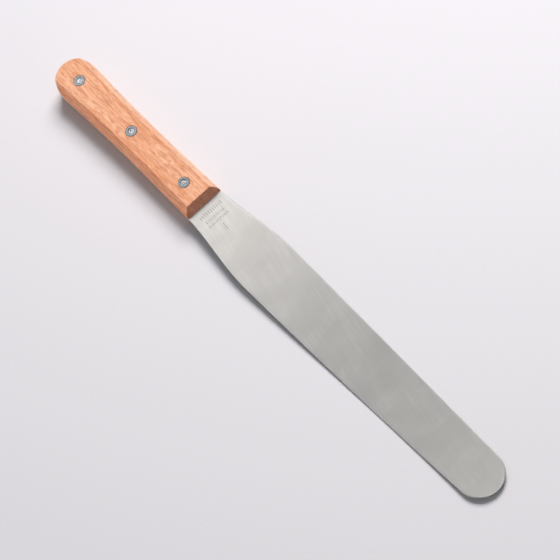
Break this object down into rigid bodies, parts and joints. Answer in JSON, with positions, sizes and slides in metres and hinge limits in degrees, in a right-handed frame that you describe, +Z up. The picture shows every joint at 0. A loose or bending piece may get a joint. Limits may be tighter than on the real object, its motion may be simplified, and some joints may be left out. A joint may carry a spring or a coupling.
{
  "type": "palette knife",
  "caption": "Straight round-tipped steel palette knife with a full tang riveted between bevelled wooden scales, for spreading icing.",
  "frame": {"origin": "on the handle's flat underside, on the middle rivet's axis", "axes": "+X along the knife to the blade's tip, +Z up through the handle's thickness, +Y across"},
  "size_m": [0.383, 0.0354, 0.015],
  "materials": {
    "blade_steel": "fine satin, brushed",
    "handle_wood": "sanded and lightly oiled, fine straight grain",
    "rivet_metal": "pressed and polished"
  },
  "bodies": {
    "root": {"blade": "blade_steel", "upper_scale": "handle_wood", "lower_scale": "handle_wood", "butt_rivet_sleeve": "rivet_metal", "butt_rivet_post": "rivet_metal", "middle_rivet_sleeve": "rivet_metal", "middle_rivet_post": "rivet_metal", "front_rivet_sleeve": "rivet_metal", "front_rivet_post": "rivet_metal"}
  },
  "joints": []
}
